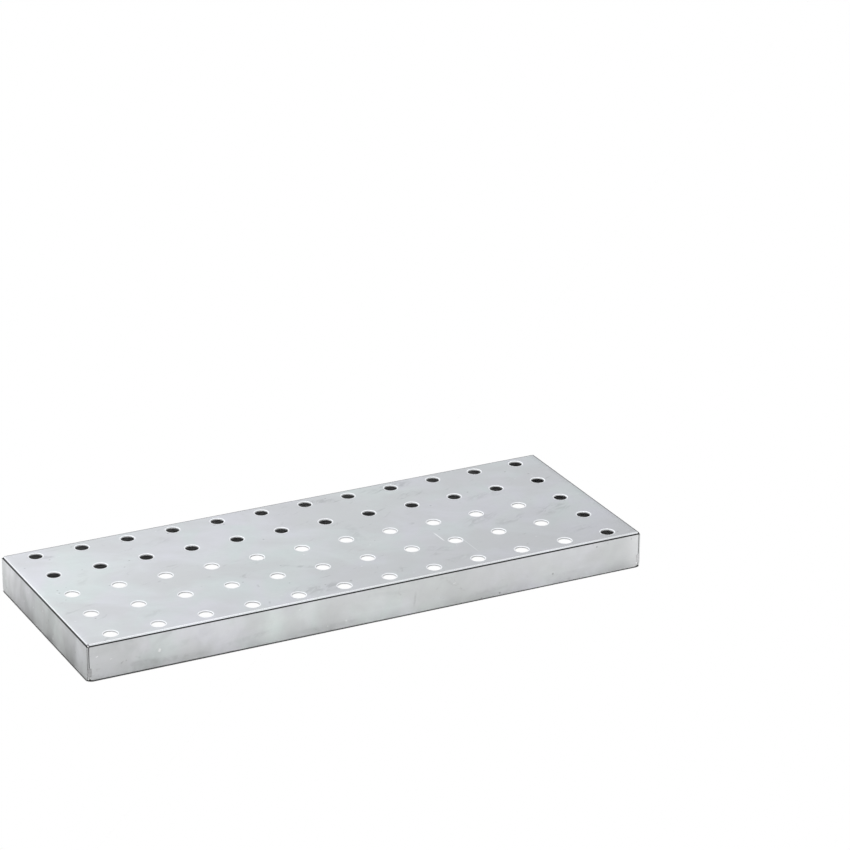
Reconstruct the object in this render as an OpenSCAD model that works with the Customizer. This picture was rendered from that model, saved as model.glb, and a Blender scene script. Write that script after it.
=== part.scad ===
// Perforated steel deck plank: a shallow tray folded from one sheet and turned upside down,
// with welded corners and three flat ribs across its underside.
// X runs along the plank, -Y is its front, +Z is up. The origin is the middle of its footprint.

/* [Plank] */
// Length along X, outside
plank_length = 800; // [600:1:1200]
// Width along Y, outside
plank_width = 300; // [240:1:400]
// Height from the rims to the top of the deck
plank_height = 50; // [40:1:80]

/* [Sheet] */
// Thickness of the sheet
sheet = 2; // [1.5:0.1:2.5]
// Outside radius of the folds
fold_radius = 3; // [2.6:0.1:5]
// Radius of the lower corners of the flanges
rim_corner_radius = 5; // [2:0.5:6]
// Open seam between two flanges at a corner
seam_gap = 0.5; // [0.2:0.1:1]

/* [Deck holes] */
// Holes along the plank
columns = 12; // [8:2:12]
// Holes across the plank
rows = 5; // [3:1:5]
// Diameter of each hole
hole_diameter = 18; // [10:1:20]
// From an end of the plank to the nearest hole centres
end_margin = 40; // [30:1:60]
// From a side of the plank to the nearest hole centres
side_margin = 20; // [18:1:30]

/* [Corner welds] */
// Length of the weld up each corner seam
corner_weld_length = 13; // [8:1:20]
// Width of the ground face of the weld
corner_weld_width = 5.5; // [5:0.1:8]
// Height of the ground face above the sheet
corner_weld_crown = 0.3; // [0.1:0.1:0.6]

/* [Ribs] */
// Depth of each rib below the deck
rib_depth = 15; // [8:1:20]
// Thickness of each rib
rib_thickness = 5; // [3:1:8]
// Hole pitches from the middle rib to the outer ribs
rib_pitches = 3; // [1:1:3]
// Gap between the end of a rib and the flange
rib_end_gap = 0.5; // [0.2:0.1:1]
// Leg of the fillet welds on the ribs
rib_weld_leg = 3; // [2:0.5:4]

/* [Hidden] */
$fn = 64;
// The ground crown is a thin slice of a very large circle, so it takes more steps
crown_fn = 180;
// How far the hole cutters run past both faces of the sheet
cut_clearance = 1;

hole_pitch_x = (plank_length - 2 * end_margin) / (columns - 1);
hole_pitch_y = (plank_width - 2 * side_margin) / (rows - 1);
deck_underside = plank_height - sheet;
flat_length = plank_length - 2 * fold_radius;
flat_width = plank_width - 2 * fold_radius;
flange_height = plank_height - fold_radius;
// The side flanges stand between the end flanges, with an open seam at each corner
side_flange_length = plank_length - 2 * (sheet + seam_gap);
rib_length = plank_width - 2 * (sheet + rib_end_gap);
rib_spacing = rib_pitches * hole_pitch_x;
rib_weld_length = rib_depth - rib_weld_leg;

LEFT = -1;
RIGHT = 1;
FRONT = -1;
REAR = 1;
ENDS = [["left", LEFT], ["right", RIGHT]];
SIDES = [["front", FRONT], ["rear", REAR]];
RIBS = [["left", -rib_spacing], ["middle", 0], ["right", rib_spacing]];

function corner_weld_name(side, end) = str("corner_weld_", side[0], "_", end[0]);
function rib_name(rib) = str("cross_rib_", rib[0]);
function rib_weld_name(rib, side, face) = str("rib_weld_", rib[0], "_", side[0], "_", face[0]);

// Quarter ring of sheet in the first quadrant, from the deck's plane to the flange's
module fold_section() {
    intersection() {
        difference() {
            circle(r = fold_radius);
            circle(r = fold_radius - sheet);
        }
        square(fold_radius);
    }
}

// Upright rectangle standing on the X axis, with its two lower corners rounded
module flange_outline(length, height) {
    straight = length / 2 - rim_corner_radius;
    translate([-straight, 0])
        square([2 * straight, height]);
    translate([-length / 2, rim_corner_radius])
        square([length, height - rim_corner_radius]);
    for (end = [LEFT, RIGHT])
        translate([end * straight, rim_corner_radius])
            circle(r = rim_corner_radius);
}

// Fold and flange along one edge that runs along X, outer face at y = -reach
module folded_edge(reach, fold_length, flange_length) {
    translate([-fold_length / 2, fold_radius - reach, flange_height])
        rotate([90, 0, 90])
            mirror([1, 0, 0])
                linear_extrude(fold_length)
                    fold_section();
    translate([0, sheet - reach, 0])
        rotate([90, 0, 0])
            linear_extrude(sheet)
                flange_outline(flange_length, flange_height);
}

// Deck sheet with its grid of round holes
module perforated_deck() {
    difference() {
        translate([-flat_length / 2, -flat_width / 2, deck_underside])
            cube([flat_length, flat_width, sheet]);
        for (column = [0 : columns - 1], row = [0 : rows - 1])
            translate([
                end_margin - plank_length / 2 + column * hole_pitch_x,
                side_margin - plank_width / 2 + row * hole_pitch_y,
                deck_underside - cut_clearance
            ])
                cylinder(d = hole_diameter, h = sheet + 2 * cut_clearance);
    }
}

// The one folded sheet: deck, four folds and four flanges
module deck_pan() {
    color([0.74, 0.76, 0.78]) {
        perforated_deck();
        for (turn = [0, 180]) {
            rotate([0, 0, turn])
                folded_edge(plank_width / 2, flat_length, side_flange_length);
            rotate([0, 0, turn + 90])
                folded_edge(plank_length / 2, flat_width, plank_width);
        }
    }
}

// Upright strip with half-round ends, in the XZ plane
module weld_strip(width, length) {
    for (z = [width / 2, length - width / 2])
        translate([0, z])
            circle(d = width);
    translate([-width / 2, width / 2])
        square([width, length - width]);
}

// Weld up the lower third of a corner seam: its root in the seam and a low ground crown outside
module corner_weld(side, end) {
    crown_radius = (pow(corner_weld_width / 2, 2) + pow(corner_weld_crown, 2)) / (2 * corner_weld_crown);
    color([0.62, 0.63, 0.64])
        mirror([end == RIGHT ? 1 : 0, 0, 0])
            mirror([0, side == REAR ? 1 : 0, 0])
                translate([-plank_length / 2, -plank_width / 2, rim_corner_radius]) {
                    translate([sheet, 0, 0])
                        cube([seam_gap, sheet, corner_weld_length]);
                    intersection() {
                        translate([corner_weld_width / 2, crown_radius - corner_weld_crown, 0])
                            cylinder(r = crown_radius, h = corner_weld_length, $fn = crown_fn);
                        translate([corner_weld_width / 2, 0, 0])
                            rotate([90, 0, 0])
                                linear_extrude(2 * corner_weld_crown)
                                    weld_strip(corner_weld_width, corner_weld_length);
                    }
                }
}

// Flat bar on edge across the underside of the deck
module cross_rib(x) {
    color([0.66, 0.68, 0.70])
        translate([x - rib_thickness / 2, -rib_length / 2, deck_underside - rib_depth])
            cube([rib_thickness, rib_length, rib_depth]);
}

// Upright fillet between one face of a rib's end and the side flange
module rib_weld(x, side, face) {
    color([0.55, 0.56, 0.58])
        translate([x, 0, deck_underside - rib_depth])
            mirror([face == LEFT ? 1 : 0, 0, 0])
                mirror([0, side == REAR ? 1 : 0, 0])
                    translate([rib_thickness / 2, sheet - plank_width / 2, 0])
                        intersection() {
                            cube([rib_weld_leg, rib_weld_leg, rib_depth]);
                            union() {
                                translate([0, 0, rib_weld_leg])
                                    cylinder(r = rib_weld_leg, h = rib_weld_length - rib_weld_leg);
                                for (z = [rib_weld_leg, rib_weld_length])
                                    translate([0, 0, z])
                                        sphere(r = rib_weld_leg);
                            }
                        }
}

deck_pan();

for (side = SIDES, end = ENDS)
    corner_weld(side[1], end[1]);

for (rib = RIBS)
    cross_rib(rib[1]);

for (rib = RIBS, side = SIDES, face = ENDS)
    rib_weld(rib[1], side[1], face[1]);
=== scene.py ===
"""Studio scene of a perforated steel deck plank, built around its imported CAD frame.

The folded sheet, its ribs and its welds are rebuilt here as detailed meshes in the CAD's own place
and size, with procedural zinc, ground steel and weld metal.
"""
import math
import random

import bmesh
import bpy
from mathutils import Matrix, Vector, noise


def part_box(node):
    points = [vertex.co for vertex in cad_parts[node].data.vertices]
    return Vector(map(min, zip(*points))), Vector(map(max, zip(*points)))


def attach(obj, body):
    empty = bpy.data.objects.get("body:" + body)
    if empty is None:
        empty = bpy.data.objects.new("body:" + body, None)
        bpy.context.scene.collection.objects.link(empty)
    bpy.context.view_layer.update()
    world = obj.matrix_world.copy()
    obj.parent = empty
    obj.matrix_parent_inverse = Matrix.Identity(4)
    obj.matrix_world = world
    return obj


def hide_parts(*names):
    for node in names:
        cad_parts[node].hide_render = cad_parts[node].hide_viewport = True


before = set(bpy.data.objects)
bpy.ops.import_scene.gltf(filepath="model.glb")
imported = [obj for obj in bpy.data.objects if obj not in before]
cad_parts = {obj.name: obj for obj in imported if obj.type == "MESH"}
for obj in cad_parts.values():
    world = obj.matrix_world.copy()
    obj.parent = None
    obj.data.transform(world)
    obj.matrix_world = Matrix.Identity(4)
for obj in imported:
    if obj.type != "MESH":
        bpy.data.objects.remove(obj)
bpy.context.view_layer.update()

MM = 0.001

# ---------------------------------------------------------------- sizes, from the frame
PAN_LOW, PAN_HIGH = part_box("deck_pan")
RIB_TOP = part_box("cross_rib_middle")[1].z
HALF_LENGTH = PAN_HIGH.x
HALF_WIDTH = PAN_HIGH.y
HEIGHT = PAN_HIGH.z
SHEET = HEIGHT - RIB_TOP
FOLD_RADIUS = 3 * MM
SEAM_GAP = 0.5 * MM
RIM_CORNER = 5 * MM
COLUMNS = 12
ROWS = 5
HOLE_RADIUS = 9 * MM
END_MARGIN = 40 * MM
SIDE_MARGIN = 20 * MM

FLAT_X = HALF_LENGTH - FOLD_RADIUS
FLAT_Y = HALF_WIDTH - FOLD_RADIUS
FLANGE_HEIGHT = HEIGHT - FOLD_RADIUS
FOLD_ARC = FOLD_RADIUS * math.pi / 2
PITCH_X = 2 * (HALF_LENGTH - END_MARGIN) / (COLUMNS - 1)
PITCH_Y = 2 * (HALF_WIDTH - SIDE_MARGIN) / (ROWS - 1)
HOLE_X = [(column - (COLUMNS - 1) / 2) * PITCH_X for column in range(COLUMNS)]
HOLE_Y = [(row - (ROWS - 1) / 2) * PITCH_Y for row in range(ROWS)]

# How fine the sheet's mesh is
FOLD_STEPS = 8
END_INSETS = [0, 0.8 * MM, 2.0 * MM, 3.2 * MM, 4.5 * MM]
PLAIN_STEPS = 8
RIM_HEIGHTS = [5 * MM, 4 * MM, 3 * MM, 2 * MM, 0.8 * MM, 0]
ROW_STEP = 6 * MM
WALL = [0, 0.25 * SHEET, 0.75 * SHEET, SHEET]
EDGE_BEVEL = 0.18 * MM
BEVEL_FROM = math.radians(50)
MERGE_DISTANCE = 0.002 * MM

# Punched edge: (millimetres out from the hole's wall, depth as a share of the sheet)
PUNCH_TOP = [(3.0, 0), (1.7, 0), (1.05, 0.015), (0.6, 0.05), (0.28, 0.11), (0.08, 0.21), (0, 0.35)]
PUNCH_BOTTOM = [(0, 0.65), (0.06, 0.85), (0.1, 1.0), (0.9, 1.0), (3.0, 1.0)]
# The punch mark fades out over this many millimetres from the wall
PUNCH_REACH = 1.8
# Rings between the punched edge and the cell's border, as shares of the way
BLEND_RINGS = [0.35, 0.7]

# How far the sheet's faces wander from flat
DECK_WAVE = 0.16 * MM
FLANGE_WAVE = 0.14 * MM


def ease(low, high, value):
    """0 below low, 1 above high, and a smooth step between."""
    t = max(0.0, min(1.0, (value - low) / (high - low)))
    return t * t * (3 - 2 * t)


# ---------------------------------------------------------------- mesh helpers
class Piece:
    """A closed mesh made from grids of points, with the marks that the sheet's material reads.

    fold runs from 0 on the deck to 1 where a flange begins, and on from there by the distance down
    it in metres. cut is 1 along a sheared edge, punch rises to 1 towards a hole's wall, and inside
    is 1 on the underside.
    """

    MARKS = ("fold", "cut", "punch", "inside")

    def __init__(self, name):
        self.name = name
        self.mesh = bmesh.new()
        self.layers = {mark: self.mesh.verts.layers.float.new(mark) for mark in self.MARKS}

    def grid(self, rows, closed=False):
        """Quads over rows of (place, marks); closed joins the last column to the first."""
        verts = []
        for row in rows:
            line = []
            for place, marks in row:
                vert = self.mesh.verts.new(place)
                for mark, value in marks.items():
                    vert[self.layers[mark]] = value
                line.append(vert)
            verts.append(line)
        columns = len(verts[0])
        for upper, lower in zip(verts, verts[1:]):
            for k in range(columns if closed else columns - 1):
                following = (k + 1) % columns
                self.mesh.faces.new((upper[k], upper[following], lower[following], lower[k]))
        return verts

    def loft(self, sections):
        """A closed tube over rings of places, with a fan at each end."""
        verts = self.grid([[(place, {}) for place in ring] for ring in sections], closed=True)
        for ring in (verts[0], verts[-1]):
            middle = self.mesh.verts.new(sum((v.co for v in ring), Vector()) / len(ring))
            for k, vert in enumerate(ring):
                self.mesh.faces.new((vert, ring[(k + 1) % len(ring)], middle))

    def finish(self, material, slot, *nodes, shape=None, bevel=0.0):
        """Closes the mesh, gives it its material and puts it in the CAD nodes' place."""
        bmesh.ops.remove_doubles(self.mesh, verts=self.mesh.verts, dist=MERGE_DISTANCE)
        if shape:
            for vert in self.mesh.verts:
                vert.co = shape(vert.co)
        bmesh.ops.recalc_face_normals(self.mesh, faces=self.mesh.faces)
        for face in self.mesh.faces:
            face.smooth = True
        data = bpy.data.meshes.new(self.name)
        self.mesh.to_mesh(data)
        self.mesh.free()
        data.materials.append(material)
        piece = bpy.data.objects.new(self.name, data)
        bpy.context.scene.collection.objects.link(piece)
        if bevel:
            add_bevel(piece, bevel)
        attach(piece, "root")
        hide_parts(*nodes)


def add_bevel(piece, width):
    """A narrow rounding along the mesh's sharp edges."""
    edges = piece.modifiers.new("edges", "BEVEL")
    edges.width = width
    edges.segments = 2
    edges.limit_method = "ANGLE"
    edges.angle_limit = BEVEL_FROM
    edges.harden_normals = True


# ---------------------------------------------------------------- the folded sheet
def mid_points(centres, end):
    """Cell borders half-way between hole centres, closed by -end and end."""
    return [-end] + [(a + b) / 2 for a, b in zip(centres, centres[1:])] + [end]


CELL_X = mid_points(HOLE_X, FLAT_X)
CELL_Y = mid_points(HOLE_Y, FLAT_Y)


def spread_from_end(low, high):
    """Points from low to high: a few close to low, the rest evenly spread."""
    start = low + END_INSETS[-1]
    even = [start + (high - start) * k / PLAIN_STEPS for k in range(1, PLAIN_STEPS + 1)]
    return [low + inset for inset in END_INSETS] + even


def side_points(borders, cell):
    """Points along one side of a cell, closer together where the deck ends at a fold."""
    low, high = borders[cell], borders[cell + 1]
    steps = PLAIN_STEPS + len(END_INSETS) - 1
    if cell == len(borders) - 2:
        return [low + high - point for point in reversed(spread_from_end(low, high))]
    if cell == 0:
        return spread_from_end(low, high)
    return [low + (high - low) * k / steps for k in range(steps + 1)]


def edge_points(borders):
    """All the points along one edge of the deck."""
    points = [borders[0]]
    for cell in range(len(borders) - 1):
        points += side_points(borders, cell)[1:]
    return points


def cell_border(column, row):
    """The points round one cell's border, from its low corner."""
    xs = side_points(CELL_X, column)
    ys = side_points(CELL_Y, row)
    border = [(x, ys[0]) for x in xs[:-1]] + [(xs[-1], y) for y in ys[:-1]]
    return border + [(x, ys[-1]) for x in xs[:0:-1]] + [(xs[0], y) for y in ys[:0:-1]]


def add_deck_cell(piece, column, row):
    """The deck round one hole: from the border on top, through the hole, to the border below."""
    border = cell_border(column, row)
    start = -3 * math.pi / 4
    turns = [start + 2 * math.pi * k / len(border) for k in range(len(border))]

    def circle(beyond):
        radius = HOLE_RADIUS + beyond * MM
        middle_x, middle_y = HOLE_X[column], HOLE_Y[row]
        return [(middle_x + radius * math.cos(a), middle_y + radius * math.sin(a)) for a in turns]

    def ring(points, depth, punch=0.0):
        marks = {"punch": punch, "inside": depth / SHEET}
        return [((x, y, HEIGHT - depth), marks) for x, y in points]

    def between(points, share):
        pairs = zip(points, border)
        return [(a + (c - a) * share, b + (d - b) * share) for (a, b), (c, d) in pairs]

    outer = circle(PUNCH_TOP[0][0])
    rows = [ring(border, 0)]
    rows += [ring(between(outer, share), 0) for share in reversed(BLEND_RINGS)]
    for beyond, depth in PUNCH_TOP + PUNCH_BOTTOM:
        rows.append(ring(circle(beyond), depth * SHEET, 1 - ease(0, PUNCH_REACH, beyond)))
    rows += [ring(between(outer, share), SHEET) for share in BLEND_RINGS]
    rows.append(ring(border, SHEET))
    piece.grid(rows, closed=True)


def flange_runs():
    """Distances down the blank from the end of the fold to the rim."""
    plain = FLANGE_HEIGHT - RIM_CORNER
    steps = int(plain / ROW_STEP)
    falls = [0.0, 0.6 * MM, 2.5 * MM]
    falls += [plain * k / steps for k in range(1, steps)]
    falls += [FLANGE_HEIGHT - height for height in RIM_HEIGHTS]
    return [FOLD_ARC + fall for fall in falls]


def round_corner(x, z, full):
    """Pulls the square lower corner of a flange in to its rounded outline."""
    beside = (abs(x) - (full - RIM_CORNER)) / RIM_CORNER
    below = (RIM_CORNER - z) / RIM_CORNER
    if beside <= 0 or below <= 0:
        return x, z
    pull = max(beside, below) / math.hypot(beside, below)
    out = full - RIM_CORNER + RIM_CORNER * beside * pull
    return math.copysign(out, x), RIM_CORNER * (1 - below * pull)


def add_folded_edge(piece, along, wings, reach, turn):
    """A fold and its flange along one edge of the deck, turned into place about Z.

    along is the deck's edge; wings are the points by which the flange runs on past its ends.
    """
    spin = Matrix.Rotation(turn, 3, "Z")
    full = wings[-1]

    def spot(base, run, depth):
        bend = min(run, FOLD_ARC) / FOLD_RADIUS
        arm = FOLD_RADIUS - depth
        out = reach - FOLD_RADIUS + arm * math.sin(bend)
        below = max(0.0, run - FOLD_ARC)
        z = FLANGE_HEIGHT + arm * math.cos(bend) - below
        x, z = round_corner(base, z, full) if below else (base, z)
        at_fold_end = abs(base) >= wings[0] and run <= FOLD_ARC
        at_edge = abs(base) >= full or run >= falls[-1] or at_fold_end
        marks = {"fold": min(run, FOLD_ARC) / FOLD_ARC + below, "inside": depth / SHEET}
        marks["cut"] = 1.0 if at_edge and run > 0 and depth in (0, SHEET) else 0.0
        return spin @ Vector((x, -out, z)), marks

    bends = [FOLD_ARC * k / FOLD_STEPS for k in range(FOLD_STEPS + 1)]
    falls = flange_runs()
    runs = bends + falls[1:]
    for depth in (0, SHEET):
        piece.grid([[spot(base, run, depth) for base in along] for run in runs])
        for side in (-1, 1):
            piece.grid([[spot(side * base, run, depth) for base in wings] for run in falls])
    for side in (-1, 1):
        piece.grid([[spot(side * wings[0], run, depth) for depth in WALL] for run in bends])
        piece.grid([[spot(side * full, run, depth) for depth in WALL] for run in falls])
        piece.grid([[spot(side * base, FOLD_ARC, depth) for base in wings] for depth in WALL])
    rim = [-base for base in reversed(wings)] + list(along[1:-1]) + wings
    piece.grid([[spot(base, falls[-1], depth) for base in rim] for depth in WALL])


def sheet_wave(place):
    """The slight waviness of rolled and folded sheet, fading out towards the folds."""
    to_edge = min(HALF_LENGTH - abs(place.x), HALF_WIDTH - abs(place.y))
    deck = noise.noise(Vector((place.x * 7.0, place.y * 9.0, 3.7)))
    rise = DECK_WAVE * deck * ease(4 * MM, 45 * MM, to_edge)
    if abs(place.y) <= FLAT_Y:
        return place + Vector((0, 0, rise))
    below = ease(0.0, 40 * MM, FLANGE_HEIGHT - place.z)
    from_corner = ease(2 * MM, 60 * MM, HALF_LENGTH - abs(place.x))
    side = noise.noise(Vector((place.x * 5.0, 8.1, 0.5 + 2 * (place.y > 0))))
    return place + Vector((0, FLANGE_WAVE * side * from_corner * below, rise))


def make_deck_pan():
    """The one folded sheet: perforated deck, four folds and four flanges."""
    piece = Piece("folded_deck_sheet")
    for column in range(COLUMNS):
        for row in range(ROWS):
            add_deck_cell(piece, column, row)
    side_wings = [FLAT_X, HALF_LENGTH - SHEET - SEAM_GAP]
    end_wings = [FLAT_Y, FLAT_Y + 1 * MM, HALF_WIDTH - 0.8 * MM, HALF_WIDTH]
    for turn in (0, math.pi):
        add_folded_edge(piece, edge_points(CELL_X), side_wings, HALF_WIDTH, turn)
        add_folded_edge(piece, edge_points(CELL_Y), end_wings, HALF_LENGTH, turn + math.pi / 2)
    zinc = ZincSheet().build()
    piece.finish(zinc, "galvanised_sheet", "deck_pan", shape=sheet_wave, bevel=EDGE_BEVEL)


# ---------------------------------------------------------------- ribs and welds
BAR_ROUNDING = 0.7 * MM
BAR_ARC_STEPS = 4
BAR_SLICES = 48
SAWN_EDGE = 0.35 * MM
BAR_GRAIN = 0.05 * MM
RIPPLE_PITCH = {"rib": 1.5 * MM, "corner": 1.3 * MM}
SLICES_PER_RIPPLE = 5
FEWEST_SLICES = 12
# The length over which a bead narrows at each end, and how far its surface sags
BEAD_TAPER = 2.2 * MM
BEAD_SAG = 0.35 * MM
NARROWEST_CROWN = 1.2 * MM


def bar_stations(low, high):
    """Places along a bar: one slice at each sawn end and even slices between."""
    start = low + SAWN_EDGE
    length = high - low - 2 * SAWN_EDGE
    inner = [start + length * k / BAR_SLICES for k in range(1, BAR_SLICES)]
    return [low, start] + inner + [high - SAWN_EDGE, high]


def make_rib(name):
    """A rolled flat bar on edge: rounded along its corners, sawn at its ends."""
    low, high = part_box(name)
    middle = (low + high) / 2
    half_x = (high.x - low.x) / 2
    half_z = (high.z - low.z) / 2
    corners = ((1, 1), (-1, 1), (-1, -1), (1, -1))

    def bar_ring(y):
        sawn = y in (low.y, high.y)
        shrink = SAWN_EDGE * 0.8 if sawn else 0.0
        ring = []
        for quarter, (side_x, side_z) in enumerate(corners):
            for k in range(BAR_ARC_STEPS + 1):
                a = (quarter + k / BAR_ARC_STEPS) * math.pi / 2
                grain = noise.noise(Vector((y * 60, quarter * 3.0 + k, middle.x * 9)))
                radius = BAR_ROUNDING + (0.0 if sawn else BAR_GRAIN * grain)
                x = side_x * (half_x - BAR_ROUNDING - shrink) + radius * math.cos(a)
                z = side_z * (half_z - BAR_ROUNDING - shrink) + radius * math.sin(a)
                x = min(half_x, max(-half_x, x))
                z = min(half_z, max(-half_z, z))
                ring.append(Vector((middle.x + x, y, middle.z + z)))
        return ring

    piece = Piece(name + "_bar")
    piece.loft([bar_ring(y) for y in bar_stations(low.y, high.y)])
    piece.finish(MATERIALS["bar"], "galvanised_bar", name)


def bead_sections(length, pitch, seed):
    """(share of the length, size, ripple) for each slice of a weld bead, rounded at both ends."""
    draw = random.Random(seed)
    count = max(FEWEST_SLICES, int(length / (pitch / SLICES_PER_RIPPLE)))
    drift = draw.uniform(0, 10)
    for k in range(count + 1):
        share = k / count
        to_end = min(share, 1 - share) * length
        size = math.sqrt(max(0.02, 1 - max(0.0, 1 - to_end / BEAD_TAPER) ** 2))
        shift = 0.6 * noise.noise(Vector((share * 6, drift, 0)))
        yield share, size, math.cos(2 * math.pi * (share * length / pitch) + shift)


def make_rib_weld(name, seed):
    """A small fillet bead up the corner between a rib and a flange, with its ripples."""
    low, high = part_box(name)
    rib_low, rib_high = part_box("cross_rib_" + name.split("_")[2])
    to_right = low.x + high.x > rib_low.x + rib_high.x
    to_rear = low.y > 0
    corner_x, side_x = (low.x, 1) if to_right else (high.x, -1)
    corner_y, side_y = (high.y, -1) if to_rear else (low.y, 1)
    leg = high.x - low.x
    arc_steps = 10
    rings = []
    for share, size, ripple in bead_sections(high.z - low.z, RIPPLE_PITCH["rib"], seed):
        z = low.z + (high.z - low.z) * share
        ring = [Vector((corner_x, corner_y, z))]
        for k in range(arc_steps + 1):
            a = math.pi / 2 * k / arc_steps
            belly = math.sin(2 * a)
            swell = 0.86 + 0.05 * ripple * belly + 0.02 * math.sin(5 * a + seed)
            reach = leg * size * swell * (1 - 0.13 * belly)
            x = corner_x + side_x * reach * math.cos(a)
            y = corner_y + side_y * reach * math.sin(a)
            ring.append(Vector((x, y, z - BEAD_SAG * belly * size)))
        rings.append(ring)
    piece = Piece(name + "_bead")
    piece.loft(rings)
    piece.finish(MATERIALS["bead"], "fillet_weld", name)


def make_corner_weld(name, seed):
    """The weld up a corner seam: a root through the seam and a low crown, ground nearly flush."""
    low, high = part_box(name)
    end = 1 if low.x > 0 else -1
    side = 1 if low.y > 0 else -1
    width = high.x - low.x
    centre = width / 2
    crown = max(abs(low.y), abs(high.y)) - HALF_WIDTH
    seam = SHEET + SEAM_GAP / 2
    root = SEAM_GAP / 2
    crown_steps = 16
    rings = []
    for share, size, ripple in bead_sections(high.z - low.z, RIPPLE_PITCH["corner"], seed):
        z = low.z + (high.z - low.z) * share
        wander = 1 + 0.05 * noise.noise(Vector((share * 9, seed, 0)))
        half = min(max(width * size * wander, NARROWEST_CROWN), width) / 2
        middle = centre + (seam - centre) * (1 - size)
        sag = BEAD_SAG * size * (1 + 0.3 * ripple)
        outline = []
        for k in range(crown_steps + 1):
            s = 2 * k / crown_steps - 1
            dome = crown * (1 - s * s) ** 0.6 * size
            outline.append((middle + half * s, min(dome, crown * (0.72 + 0.05 * ripple))))
        outline += [(seam + root, 0), (seam + root, -SHEET), (seam + 1.6 * root, -SHEET)]
        outline += [(seam, -SHEET - sag), (seam - root, -SHEET), (seam - root, 0)]
        rings.append([
            Vector((end * (HALF_LENGTH - inward), side * (HALF_WIDTH + out), z))
            for inward, out in outline
        ])
    piece = Piece(name + "_bead")
    piece.loft(rings)
    piece.finish(MATERIALS["ground"], "ground_weld", name)


# ---------------------------------------------------------------- materials
def grey(value, blue=1.0):
    return (value, value, value * blue, 1.0)


class Nodes:
    """Short calls for building one node tree."""

    def __init__(self, tree):
        self.tree = tree

    def node(self, kind, **settings):
        made = self.tree.nodes.new(kind)
        for key, value in settings.items():
            setattr(made, key, value)
        return made

    def feed(self, socket, value):
        """Links an output to a socket, or sets the socket to a plain value."""
        if isinstance(value, bpy.types.NodeSocket):
            self.tree.links.new(value, socket)
        else:
            socket.default_value = value

    def math(self, operation, a, b=0.0, clamp=False):
        made = self.node("ShaderNodeMath", operation=operation, use_clamp=clamp)
        self.feed(made.inputs[0], a)
        self.feed(made.inputs[1], b)
        return made.outputs[0]

    def plus(self, *values):
        total = values[0]
        for value in values[1:]:
            total = self.math("ADD", total, value)
        return total

    def times(self, *values):
        product = values[0]
        for value in values[1:]:
            product = self.math("MULTIPLY", product, value)
        return product

    def without(self, value, mask, share=1.0):
        """The value less a share of a mask."""
        return self.math("SUBTRACT", value, self.times(mask, share))

    def clamped(self, value, share=1.0):
        return self.math("MULTIPLY", value, share, clamp=True)

    def size_of(self, value):
        return self.math("ABSOLUTE", value)

    def between(self, value, low, high, to_low=0.0, to_high=1.0):
        """Value from low to high becomes a smooth step from to_low to to_high."""
        made = self.node("ShaderNodeMapRange", interpolation_type="SMOOTHSTEP")
        for socket, number in zip(made.inputs[:5], (value, low, high, to_low, to_high)):
            self.feed(socket, number)
        return made.outputs[0]

    def band(self, value, low, peak_low, peak_high, high):
        """1 from peak_low to peak_high, fading to 0 at low and high."""
        rising = self.between(value, low, peak_low)
        return self.times(rising, self.between(value, high, peak_high))

    def mix(self, share, a, b, blend="MIX"):
        made = self.node("ShaderNodeMix", data_type="RGBA", blend_type=blend)
        self.feed(made.inputs["Factor"], share)
        self.feed(made.inputs[6], a)
        self.feed(made.inputs[7], b)
        return made.outputs[2]

    def mix_shaders(self, share, a, b):
        made = self.node("ShaderNodeMixShader")
        for socket, value in zip(made.inputs, (share, a, b)):
            self.feed(socket, value)
        return made.outputs[0]

    def parts(self, vector):
        """The three parts of a vector or colour."""
        made = self.node("ShaderNodeSeparateXYZ")
        self.feed(made.inputs[0], vector)
        return made.outputs


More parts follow.
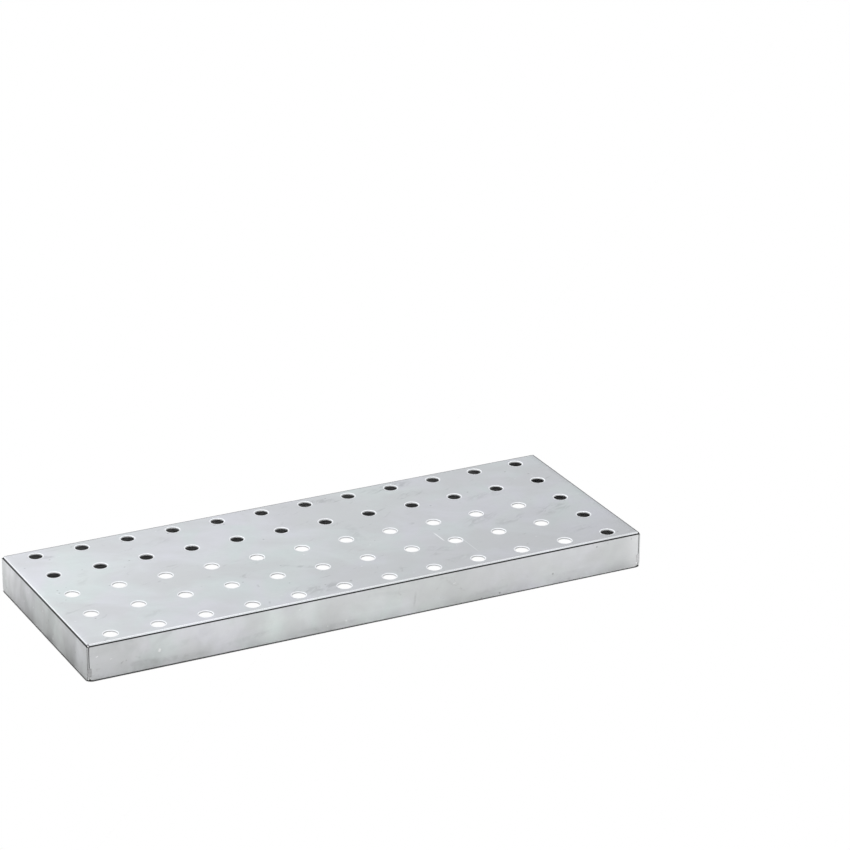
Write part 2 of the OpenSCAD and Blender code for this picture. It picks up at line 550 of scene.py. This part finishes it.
class Shader(Nodes):
    """One material's node tree, with the textures that the metals are made from."""

    def __init__(self, name, **settings):
        self.material = bpy.data.materials.new(name)
        self.material.use_nodes = True
        super().__init__(self.material.node_tree)
        self.bsdf = self.tree.nodes["Principled BSDF"]
        self.output = self.tree.nodes["Material Output"]
        for socket, value in settings.items():
            self.bsdf.inputs[socket.replace("_", " ")].default_value = value
        self.object = self.node("ShaderNodeTexCoord").outputs["Object"]

    def move(self, place=(0, 0, 0), turn=(0, 0, 0), size=(1, 1, 1)):
        """The object's own coordinates, moved, turned and stretched."""
        made = self.node("ShaderNodeMapping", vector_type="TEXTURE")
        self.feed(made.inputs["Vector"], self.object)
        made.inputs["Location"].default_value = place
        made.inputs["Rotation"].default_value = turn
        made.inputs["Scale"].default_value = size
        return made.outputs[0]

    def noise(self, scale, detail=3.0, roughness=0.5, vector=None, distortion=0.0):
        made = self.node("ShaderNodeTexNoise")
        self.feed(made.inputs["Vector"], vector or self.object)
        made.inputs["Scale"].default_value = scale
        made.inputs["Detail"].default_value = detail
        made.inputs["Roughness"].default_value = roughness
        made.inputs["Distortion"].default_value = distortion
        return made.outputs["Fac"]

    def cells(self, scale, vector=None):
        """Scattered cells: the distance from each one's middle, and its three random values."""
        made = self.node("ShaderNodeTexVoronoi", feature="F1")
        self.feed(made.inputs["Vector"], vector or self.object)
        made.inputs["Scale"].default_value = scale
        return made.outputs["Distance"], self.parts(made.outputs["Color"])

    def mark(self, name):
        return self.node("ShaderNodeAttribute", attribute_name=name).outputs["Fac"]

    def bump(self, height, distance, strength=1.0, under=None):
        made = self.node("ShaderNodeBump")
        self.feed(made.inputs["Height"], height)
        made.inputs["Distance"].default_value = distance
        made.inputs["Strength"].default_value = strength
        if under is not None:
            self.feed(made.inputs["Normal"], under)
        return made.outputs[0]

    def streak(self, across, up, turn, length, width, on_deck):
        """A soft-edged mark, flat on the deck or else upright on the front face.

        turn is in degrees anticlockwise, and the other sizes are in millimetres.
        """
        angle = math.radians(turn)
        half_length = length / 2 * MM
        half_width = width / 2 * MM
        if on_deck:
            place = (across * MM, up * MM, HEIGHT)
            local = self.move(place, (0, 0, angle), (half_length, half_width, MM))
            along, sideways, off = [self.size_of(part) for part in self.parts(local)]
        else:
            place = (across * MM, -HALF_WIDTH, up * MM)
            local = self.move(place, (0, -angle, 0), (half_length, MM, half_width))
            along, off, sideways = [self.size_of(part) for part in self.parts(local)]
        spread = self.times(self.between(along, 1.0, 0.45), self.between(sideways, 1.0, 0.2))
        return self.times(spread, self.between(off, 1.6, 1.2))

    def streaks(self, marks, on_deck):
        """The sum of all the marks in a table."""
        return self.plus(*[
            self.times(self.streak(across, up, turn, length, width, on_deck), strength)
            for across, up, turn, length, width, strength in marks
        ])

    def finish(self, colour, roughness, normal):
        self.feed(self.bsdf.inputs["Base Color"], colour)
        self.feed(self.bsdf.inputs["Roughness"], roughness)
        self.feed(self.bsdf.inputs["Normal"], normal)
        return self.material


# Handling marks on the deck: (x, y, turn in degrees, length, width, strength), in millimetres
BRIGHT_SCRATCHES = [
    (148.5, -46, 92, 36, 3.2, 1.0), (174, -88, 91, 54, 1.8, 0.45), (-377, 8, -45, 7, 3.0, 0.7),
    (160, -70, 75, 40, 1.2, 0.3), (232, -20, 12, 60, 1.4, 0.25), (-60, 40, 150, 46, 1.2, 0.2),
    (300, 60, 8, 70, 1.2, 0.2), (-240, -50, 28, 55, 1.0, 0.18), (60, -20, -32, 38, 1.0, 0.2),
]
DARK_SMEARS = [
    (-61, -50, -30, 52, 11, 0.85), (158, 132, 6, 96, 24, 1.0), (57, 129, -8, 56, 20, 0.9),
    (-19, -121, 60, 10, 5, 1.6), (-142, -136, 70, 11, 5, 1.6), (-134, -82, 80, 10, 4, 0.9),
    (143, -117, 10, 60, 26, 0.45), (131, -80, -25, 50, 24, 0.5), (-66, -124, -8, 96, 40, 0.9),
    (224, -18, 15, 80, 34, 0.7), (263, -37, 10, 70, 30, 0.7), (266, 50, 5, 70, 24, 0.6),
    (330, -30, 12, 70, 44, 0.8), (51, 13, 85, 70, 24, 0.5), (-348, 119, -20, 26, 14, 0.8),
    (330, -105, 8, 60, 22, 0.7), (-290, -100, 20, 40, 18, 0.4), (182, 100, 0, 46, 30, 0.6),
    (-200, 100, 25, 60, 26, 0.4), (-330, 40, 65, 60, 20, 0.35),
]
# Marks on the front face: (x, z, turn in degrees, length, width, strength), in millimetres
FRONT_SMUDGES = [
    (-300, 9, -4, 150, 12, 0.5), (-180, 14, 6, 90, 9, 0.35), (-60, 7, 0, 120, 8, 0.3),
    (60, 20, 84, 34, 5, 0.5), (160, 10, 3, 130, 9, 0.25), (-353, 17, 30, 6, 3, 0.8),
    (-332, 20, -25, 10, 4, 0.5), (290, 12, 0, 90, 8, 0.25), (-250, 30, 12, 70, 12, 0.25),
    (20, 36, -5, 110, 8, 0.2),
]
FRONT_NICKS = [
    (-387, 32, 20, 4, 2.2, 0.8), (-302, 23, 70, 6, 5, 0.8), (-368, 25, 10, 4, 2, 0.5),
    (118, 31, 15, 6, 2, 0.5),
]


# Tints of the zinc, and the slight green cast of the flanges
PALE_GREEN = (0.790, 0.825, 0.811, 1.0)
PALE_LILAC = (0.806, 0.800, 0.832, 1.0)
GREEN = (0.760, 0.823, 0.802, 1.0)
LILAC = (0.812, 0.802, 0.852, 1.0)
FLANGE_CAST = (0.983, 1.0, 0.99, 1.0)
# Heat tint beside a weld
BROWN = (0.34, 0.27, 0.19, 1.0)


class ZincSheet(Shader):
    """Skin-passed galvanised sheet: pale, faintly clouded zinc with marks, and painted highlights
    and painted shade on its folds and elsewhere.
    """

    def __init__(self):
        super().__init__("galvanised sheet", Specular_IOR_Level=0.5)
        self.fold, self.cut, self.punch, self.inside = [self.mark(name) for name in Piece.MARKS]
        self.x, self.y, self.z = self.parts(self.object)
        self.beside = self.size_of(self.x)
        self.on_flange = self.between(self.z, HEIGHT - FOLD_RADIUS * 0.6, FLANGE_HEIGHT)
        self.on_end = self.between(self.beside, HALF_LENGTH - 1 * MM, HALF_LENGTH - 0.2 * MM)
        self.at_front = self.between(self.y, -FLAT_Y, -HALF_WIDTH)
        self.rolled = self.band(self.punch, 0.0, 0.15, 0.7, 0.9)
        self.wall = self.between(self.punch, 0.8, 0.98)
        self.ceiling = self.between(self.fold, 0.9, 0.1)
        self.below = self.times(self.between(self.inside, 0.6, 0.95), self.without(1.0, self.wall))
        self.rolling = self.noise(420, 2.0, 0.6, self.move(size=(14, 1, 1)))
        self.grain = self.noise(1400, 2.0, 0.6)
        spun = self.move(turn=(0, 0, -0.5), size=(1.6, 1, 1))
        self.patches = self.noise(13, 3.0, 0.55, spun, 0.4)
        self.smears = self.smear_mask()

    def smear_mask(self):
        """Dark handling marks, broken up by noise."""
        front = self.times(self.streaks(FRONT_SMUDGES, False), self.at_front)
        marks = self.plus(self.streaks(DARK_SMEARS, True), front)
        spun = self.move(turn=(0, 0, 0.5), size=(1.6, 0.7, 1))
        broken = self.between(self.noise(70, 4.0, 0.6, spun, 0.8), 0.40, 0.62)
        return self.times(marks, self.plus(self.times(broken, 0.85), 0.15))

    def zinc(self):
        """The zinc itself: clouds of faint green and lilac, rolling lines and small crystals."""
        spun = self.move(turn=(0, 0, 0.7), size=(1.8, 0.7, 1))
        clouds = self.between(self.noise(5.5, 2.0, 0.5, spun, 0.6), 0.38, 0.62)
        tint = self.mix(clouds, PALE_GREEN, PALE_LILAC)
        spun = self.move(place=(0.3, 0.1, 0), turn=(0, 0, -0.6), size=(0.8, 1.5, 1))
        hue = self.noise(15, 2.0, 0.5, spun, 0.5)
        tint = self.mix(self.between(hue, 0.5, 0.66, 0.0, 0.8), tint, LILAC)
        tint = self.mix(self.between(hue, 0.5, 0.36, 0.0, 0.6), tint, GREEN)
        tint = self.mix(self.between(self.patches, 0.34, 0.66, 0.0, 0.8), tint, grey(0.69))
        tint = self.mix(self.between(self.rolling, 0.3, 0.7, 0.0, 0.05), tint, grey(0.60))
        crystal = self.cells(330)[1]
        return self.mix(self.times(crystal["X"], 0.06), tint, grey(0.58))

    def deck_shade(self):
        """Painted shade: darker towards the front and the right."""
        dull = self.plus(
            self.between(self.y, 0.10, -0.16, 0.0, 0.12),
            self.between(self.x, -0.40, -0.02, 0.0, 0.11),
            self.between(self.x, 0.0, 0.42, 0.0, 0.04),
        )
        return self.times(dull, self.without(1.0, self.on_flange))

    def flange_blotches_and_shade(self):
        """Blotches, with painted shade darkening them along the rim by the floor, and darker at the
        front's left.
        """
        spun = self.move(turn=(0, 0.4, 0), size=(1, 1, 1.2))
        blotches = self.noise(30, 3.0, 0.5, spun, 0.3)
        fading = self.between(self.x, -0.36, 0.05, 0.22, 0.09)
        blotched = self.times(self.between(blotches, 0.36, 0.68), fading)
        # Painted shade: the blotches darken towards the rim, by the floor.
        by_rim = self.between(self.z, 16 * MM, 0.0)
        low = self.times(by_rim, self.between(blotches, 0.3, 0.6, 0.02, 0.14))
        left = self.times(self.between(self.x, -0.40, -0.14, 0.15, 0.0), self.at_front)
        return self.plus(self.times(self.plus(blotched, low), self.on_flange), left)

    def end_shade(self):
        """Upright streaks on the end faces, with painted shade darkening the whole face, more to the
        front and downwards.
        """
        spun = self.move(turn=(0.22, 0, 0), size=(1, 1, 7))
        bands = self.noise(30, 2.0, 0.5, spun, 0.3)
        # Streaky tone, plus painted shade over the whole face, heavier to the front and downwards.
        streaked = self.plus(
            self.between(bands, 0.36, 0.62, 0.12, 0.36),
            self.between(self.y, 0.16, 0.0, -0.16, 0.14),
            self.between(self.z, 42 * MM, 6 * MM, 0.0, 0.18),
        )
        return self.times(streaked, self.on_end)

    def toned(self, tint):
        """Tone across the sheet: painted shade and blotches darken it, and it is lighter at the rear
        of the end faces and the right of the front.
        """
        # Painted shade on the deck and the end faces, and the flanges' blotches and painted shade,
        # all towards grey.
        dull = self.plus(self.deck_shade(), self.flange_blotches_and_shade(), self.end_shade())
        tint = self.mix(self.clamped(dull), tint, grey(0.33))
        tint = self.mix(self.on_flange, tint, FLANGE_CAST, "MULTIPLY")
        # Lighter at the rear of the end faces and at the right end of the front.
        lightened = self.plus(
            self.times(self.on_end, self.between(self.y, 0.06, 0.16, 0.0, 0.2)),
            self.times(self.at_front, self.between(self.x, 0.372, 0.397, 0.0, 0.4)),
        )
        return self.mix(lightened, tint, grey(0.95))

    def speckled(self, tint):
        """Scattered pits, tiny painted highlights and faint scuffs."""
        distance, chance = self.cells(75, self.move(size=(1, 0.7, 1)))
        tight = self.between(distance, 0.15, 0.05)
        pits = self.times(tight, self.math("GREATER_THAN", chance["X"], 0.90))
        painted_glints = self.times(tight, self.math("LESS_THAN", chance["X"], 0.07))
        tint = self.mix(self.times(pits, 0.55), tint, grey(0.25))
        # Tiny painted highlights scattered over the sheet.
        tint = self.mix(self.times(painted_glints, 0.5), tint, grey(0.98))
        spun = self.move(turn=(0, 0, 0.35), size=(2.2, 0.8, 1))
        scuffs = self.between(self.noise(60, 5.0, 0.65, spun, 0.9), 0.60, 0.74)
        scuffs = self.times(scuffs, self.between(self.patches, 0.42, 0.60))
        return self.mix(self.times(scuffs, 0.5), tint, grey(0.40))

    def handled(self, tint):
        """The larger smears, scratches and nicks."""
        tint = self.mix(self.clamped(self.smears, 0.42), tint, grey(0.28))
        nicks = self.times(self.streaks(FRONT_NICKS, False), self.at_front)
        bright = self.plus(self.streaks(BRIGHT_SCRATCHES, True), nicks)
        return self.mix(self.clamped(bright, 0.85), tint, grey(0.98))

    def folded(self, tint):
        """Painted light on the folds: a painted dark reflection at the start of the rear and right
        folds, a painted highlight on each fold and a painted dark reflection line below it.
        """
        rear = self.between(self.y, FLAT_Y - 1 * MM, FLAT_Y)
        right = self.between(self.x, FLAT_X - 1 * MM, FLAT_X)
        # Painted dark reflection along the start of the rear and right folds.
        far_fold_shade = self.band(self.fold, -0.1, 0.03, 0.25, 0.45)
        far_fold_shade = self.times(far_fold_shade, self.math("MAXIMUM", rear, right))
        tint = self.mix(self.times(far_fold_shade, 0.9), tint, grey(0.12))
        # Painted highlight along each fold.
        fold_highlight = self.band(self.fold, 0.0, 0.12, 0.36, 0.5)
        tint = self.mix(self.times(fold_highlight, 0.3), tint, grey(0.97))
        # Painted dark reflection along the lower part of each fold, starting a little sooner on the
        # end folds.
        end_fold = self.between(self.beside, FLAT_X, FLAT_X + 0.3 * MM)
        bent = self.plus(self.fold, self.times(end_fold, 0.14))
        ending = self.between(self.fold, 1.0 + 0.5 * MM, 1.0)
        fold_dark_reflection = self.times(self.between(bent, 0.60, 0.67), ending)
        return self.mix(self.times(fold_dark_reflection, 0.97), tint, grey(0.02))

    def edged(self, tint):
        """Bright rims and walls at the holes, darkened cut edges and painted shade on the underside.
        """
        tint = self.mix(self.times(self.rolled, 0.88), tint, grey(0.99))
        # Cut edges darkened, most at the left end: partly the dark of sheared edges, partly painted
        # shade in the corner seams and along the rim's foot.
        strength = self.between(self.x, 0.36, -0.36, 0.05, 0.95)
        sheared = self.times(self.between(self.cut, 0.05, 0.5), strength)
        tint = self.mix(sheared, tint, grey(0.03))
        # Painted shade on the underside: the inner flange faces darkest, the deck's underside less.
        underside = self.mix(self.ceiling, grey(0.30), grey(0.50))
        tint = self.mix(self.below, tint, underside)
        return self.mix(self.wall, tint, grey(0.90))

    def metal(self):
        metal = self.without(0.9, self.times(self.below, self.ceiling), 0.6)
        metal = self.without(metal, self.rolled, 0.6)
        return self.without(metal, self.wall, 0.6)

    def roughness(self):
        rough = self.plus(
            self.between(self.patches, 0.3, 0.7, 0.30, 0.36),
            self.times(self.grain, 0.06),
            self.times(self.smears, 0.12),
            self.times(self.inside, 0.2),
        )
        return self.without(rough, self.band(self.fold, 0.0, 0.1, 0.5, 0.6), 0.12)

    def relief(self):
        normal = self.bump(self.noise(38, 2.0, 0.5), 0.12 * MM, 0.5)
        normal = self.bump(self.rolling, 0.006 * MM, 0.6, normal)
        return self.bump(self.grain, 0.006 * MM, 0.6, normal)

    def build(self):
        tint = self.handled(self.speckled(self.toned(self.zinc())))
        self.feed(self.bsdf.inputs["Metallic"], self.metal())
        return self.finish(self.edged(self.folded(tint)), self.roughness(), self.relief())


def zinc_bar():
    """Hot-dip galvanised flat bar: darker and duller than the sheet, with a coarse spangle."""
    s = Shader("galvanised bar", Metallic=0.45, Specular_IOR_Level=0.5)
    crystal = s.cells(190, s.move(size=(1, 1.6, 1)))[1]
    clouds = s.between(s.noise(26, 4.0, 0.6), 0.3, 0.7)
    tint = s.mix(clouds, grey(0.52, 1.03), grey(0.66, 1.04))
    tint = s.mix(s.times(crystal["X"], 0.25), tint, grey(0.42, 1.05))
    rough = s.plus(0.42, s.times(crystal["Y"], 0.12))
    return s.finish(tint, rough, s.bump(s.noise(210, 3.0, 0.6), 0.05 * MM, 0.6))


def weld_bead():
    """As-welded fillet: mottled dull grey with patches of brown heat tint."""
    s = Shader("weld bead", Metallic=0.5, Specular_IOR_Level=0.5)
    soot = s.noise(520, 4.0, 0.65)
    tint = s.mix(s.between(soot, 0.35, 0.65), grey(0.24), grey(0.48))
    heat = s.between(s.noise(240, 3.0), 0.5, 0.75, 0.0, 0.5)
    tint = s.mix(heat, tint, BROWN)
    rough = s.between(soot, 0.3, 0.7, 0.38, 0.62)
    return s.finish(tint, rough, s.bump(soot, 0.08 * MM, 0.7))


def ground_weld():
    """Weld crown ground flush, with slanting grinding lines, and paler zinc towards the right."""
    s = Shader("ground weld", Metallic=0.75, Specular_IOR_Level=0.5)
    lines = s.noise(900, 3.0, 0.6, s.move(turn=(0, 0.5, 0), size=(1, 1, 14)))
    clouds = s.between(s.noise(300, 3.0, 0.6), 0.3, 0.7)
    tint = s.mix(clouds, grey(0.34), grey(0.50))
    tint = s.mix(s.between(lines, 0.4, 0.65, 0.0, 0.4), tint, grey(0.64))
    pale = s.between(s.parts(s.object)["X"], -0.2, 0.3, 0.0, 0.85)
    tint = s.mix(pale, tint, grey(0.74))
    rough = s.between(lines, 0.3, 0.7, 0.42, 0.6)
    return s.finish(tint, rough, s.bump(lines, 0.03 * MM, 0.7))


# ---------------------------------------------------------------- studio
FLOOR_SIZE = 60.0
FLOOR_DROP = 0.05 * MM
CONTACT = 4 * MM
FLOOR_COLOUR = (0.820, 0.800, 0.785, 1.0)
# The painted contact shadow: how open the floor is where the shadow is darkest and where it has
# faded out, and what is added to that past the plank's ends, so that the shadow is fainter there
SHADOW_DARKEST = 0.79
SHADOW_GONE = 0.97
END_OPENNESS = 0.19
# Light from below passes the floor to a surface seen after fewer bounces than this
OPEN_DEPTH = 2.5


def floor_material():
    """Plain white to the camera, with a painted contact shadow; a matt floor to every other ray.

    It is clear from behind. Light from below passes it only to surfaces seen directly or in one
    reflection, so the space under the plank stays dark when it is seen through the holes.
    """
    s = Shader("studio floor")
    s.tree.nodes.remove(s.bsdf)
    rays = s.node("ShaderNodeLightPath").outputs
    behind = s.node("ShaderNodeNewGeometry").outputs["Backfacing"]
    near = s.node("ShaderNodeAmbientOcclusion", samples=16)
    near.inputs["Distance"].default_value = CONTACT
    beside = s.size_of(s.parts(s.object)["X"])
    open_end = s.between(beside, HALF_LENGTH - CONTACT, HALF_LENGTH, 0.0, END_OPENNESS)
    openness = s.plus(near.outputs["AO"], open_end)
    seen = s.node("ShaderNodeEmission")
    # Painted contact shadow: the camera's white darkens where the floor is hemmed in by the plank.
    white = s.between(openness, SHADOW_DARKEST, SHADOW_GONE)
    s.feed(seen.inputs["Color"], s.mix(white, grey(0.05), grey(1.0)))
    lit = s.node("ShaderNodeBsdfDiffuse")
    lit.inputs["Color"].default_value = FLOOR_COLOUR
    shown = s.mix_shaders(rays["Is Camera Ray"], lit.outputs[0], seen.outputs[0])
    early = s.math("LESS_THAN", rays["Ray Depth"], OPEN_DEPTH)
    open_to = s.math("MAXIMUM", behind, s.times(rays["Is Shadow Ray"], early))
    clear = s.node("ShaderNodeBsdfTransparent").outputs[0]
    s.feed(s.output.inputs["Surface"], s.mix_shaders(open_to, shown, clear))
    return s.material


def make_floor():
    """A large flat floor, just below the plank's rims."""
    half = FLOOR_SIZE / 2
    corners = [(-half, -half, 0), (half, -half, 0), (half, half, 0), (-half, half, 0)]
    data = bpy.data.meshes.new("studio_floor")
    data.from_pydata(corners, [], [(0, 1, 2, 3)])
    data.materials.append(floor_material())
    floor = bpy.data.objects.new("studio_floor", data)
    floor.location.z = PAN_LOW.z - FLOOR_DROP
    bpy.context.scene.collection.objects.link(floor)


# Brightness of the surround: (height of the direction above the horizon, value)
SKY = [
    (0.0, 0.03), (0.11, 0.27), (0.36, 0.612), (0.62, 0.95),
    (0.80, 1.45), (0.92, 0.80), (1.0, 0.50),
]
SKY_TINT = (0.975, 1.0, 1.03)
# The ramp's colours stay below 1, so they are divided by this and the strength is multiplied by it
SKY_SCALE = 2

# Strength of the surround towards the left and the right, and its rise again at the far right
LEFT_POWER = 1.42
RIGHT_POWER = 0.68
FAR_RIGHT_RISE = 1.7
# Where those two changes happen, as the X part of the direction
LEAN_SPAN = (0.10, 0.74)
RISE_SPAN = (0.60, 0.95)
# Power in watts a square metre, and width across the sky, of the light from below
UNDERLIGHT_POWER = 2.2
UNDERLIGHT_WIDTH = math.radians(5)


def sky_ramp(n, height):
    """The surround's colour at a height above the horizon."""
    ramp = n.node("ShaderNodeValToRGB")
    ramp.color_ramp.interpolation = "EASE"
    stops = ramp.color_ramp.elements
    while len(stops) < len(SKY):
        stops.new(0.5)
    for stop, (position, value) in zip(stops, SKY):
        stop.position = position
        stop.color = (*(value / SKY_SCALE * part for part in SKY_TINT), 1)
    n.feed(ramp.inputs[0], height)
    return ramp.outputs["Color"]


def make_world():
    """Soft surround light: dim at the horizon, bright above, nothing from below the floor."""
    world = bpy.data.worlds.new("studio")
    world.use_nodes = True
    bpy.context.scene.world = world
    n = Nodes(world.node_tree)
    direction = n.parts(n.node("ShaderNodeTexCoord").outputs["Generated"])
    left = SKY_SCALE * LEFT_POWER
    right = SKY_SCALE * RIGHT_POWER
    lean = n.between(direction["X"], *LEAN_SPAN, left, right)
    rise = n.between(direction["X"], *RISE_SPAN, 1.0, FAR_RIGHT_RISE)
    above = n.math("GREATER_THAN", direction["Z"], 0.0)
    background = n.tree.nodes["Background"]
    n.feed(background.inputs["Color"], sky_ramp(n, direction["Z"]))
    n.feed(background.inputs["Strength"], n.times(lean, rise, above))
    plain = n.node("ShaderNodeBackground")
    plain.inputs["Color"].default_value = grey(1.0)
    to_camera = n.node("ShaderNodeLightPath").outputs["Is Camera Ray"]
    both = n.mix_shaders(to_camera, background.outputs[0], plain.outputs[0])
    n.feed(n.tree.nodes["World Output"].inputs["Surface"], both)


def make_light():
    """A weak light from straight below, through the floor, for views of the underside."""
    data = bpy.data.lights.new("underside_light", "SUN")
    data.energy = UNDERLIGHT_POWER
    data.angle = UNDERLIGHT_WIDTH
    lamp = bpy.data.objects.new("underside_light", data)
    lamp.rotation_euler = (math.pi, 0, 0)
    bpy.context.scene.collection.objects.link(lamp)


# The camera looks from the front left, past the rear right of the deck
VIEW_AZIMUTH = math.radians(-27.255)
VIEW_ELEVATION = math.radians(22.407)
VIEW_ROLL = math.radians(0.622)
VIEW_AIM = Vector((310.08 * MM, 312.20 * MM, HEIGHT))
VIEW_DISTANCE = 5.0435
VIEW_LENS = 147.87
VIEW_REACH = 200


def make_camera():
    """A long lens at the product's three-quarter view."""
    flat = math.cos(VIEW_ELEVATION)
    back = Vector((
        math.sin(VIEW_AZIMUTH) * flat,
        -math.cos(VIEW_AZIMUTH) * flat,
        math.sin(VIEW_ELEVATION),
    ))
    level = Vector((math.cos(VIEW_AZIMUTH), math.sin(VIEW_AZIMUTH), 0))
    upright = back.cross(level)
    right = level * math.cos(VIEW_ROLL) + upright * math.sin(VIEW_ROLL)
    up = upright * math.cos(VIEW_ROLL) - level * math.sin(VIEW_ROLL)
    data = bpy.data.cameras.new("camera")
    data.lens = VIEW_LENS
    data.clip_end = VIEW_REACH
    camera = bpy.data.objects.new("camera", data)
    turn = Matrix((right, up, back)).transposed().to_4x4()
    camera.matrix_world = Matrix.Translation(VIEW_AIM + back * VIEW_DISTANCE) @ turn
    bpy.context.scene.collection.objects.link(camera)
    bpy.context.scene.camera = camera


# ---------------------------------------------------------------- the scene
MATERIALS = {"bar": zinc_bar(), "bead": weld_bead(), "ground": ground_weld()}

make_camera()
make_deck_pan()
for number, node in enumerate(sorted(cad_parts)):
    if node.startswith("cross_rib"):
        make_rib(node)
    elif node.startswith("rib_weld"):
        make_rib_weld(node, number)
    elif node.startswith("corner_weld"):
        make_corner_weld(node, number)
make_floor()
make_world()
make_light()
bpy.context.scene.view_settings.view_transform = "Standard"

bpy.context.view_layer.update()
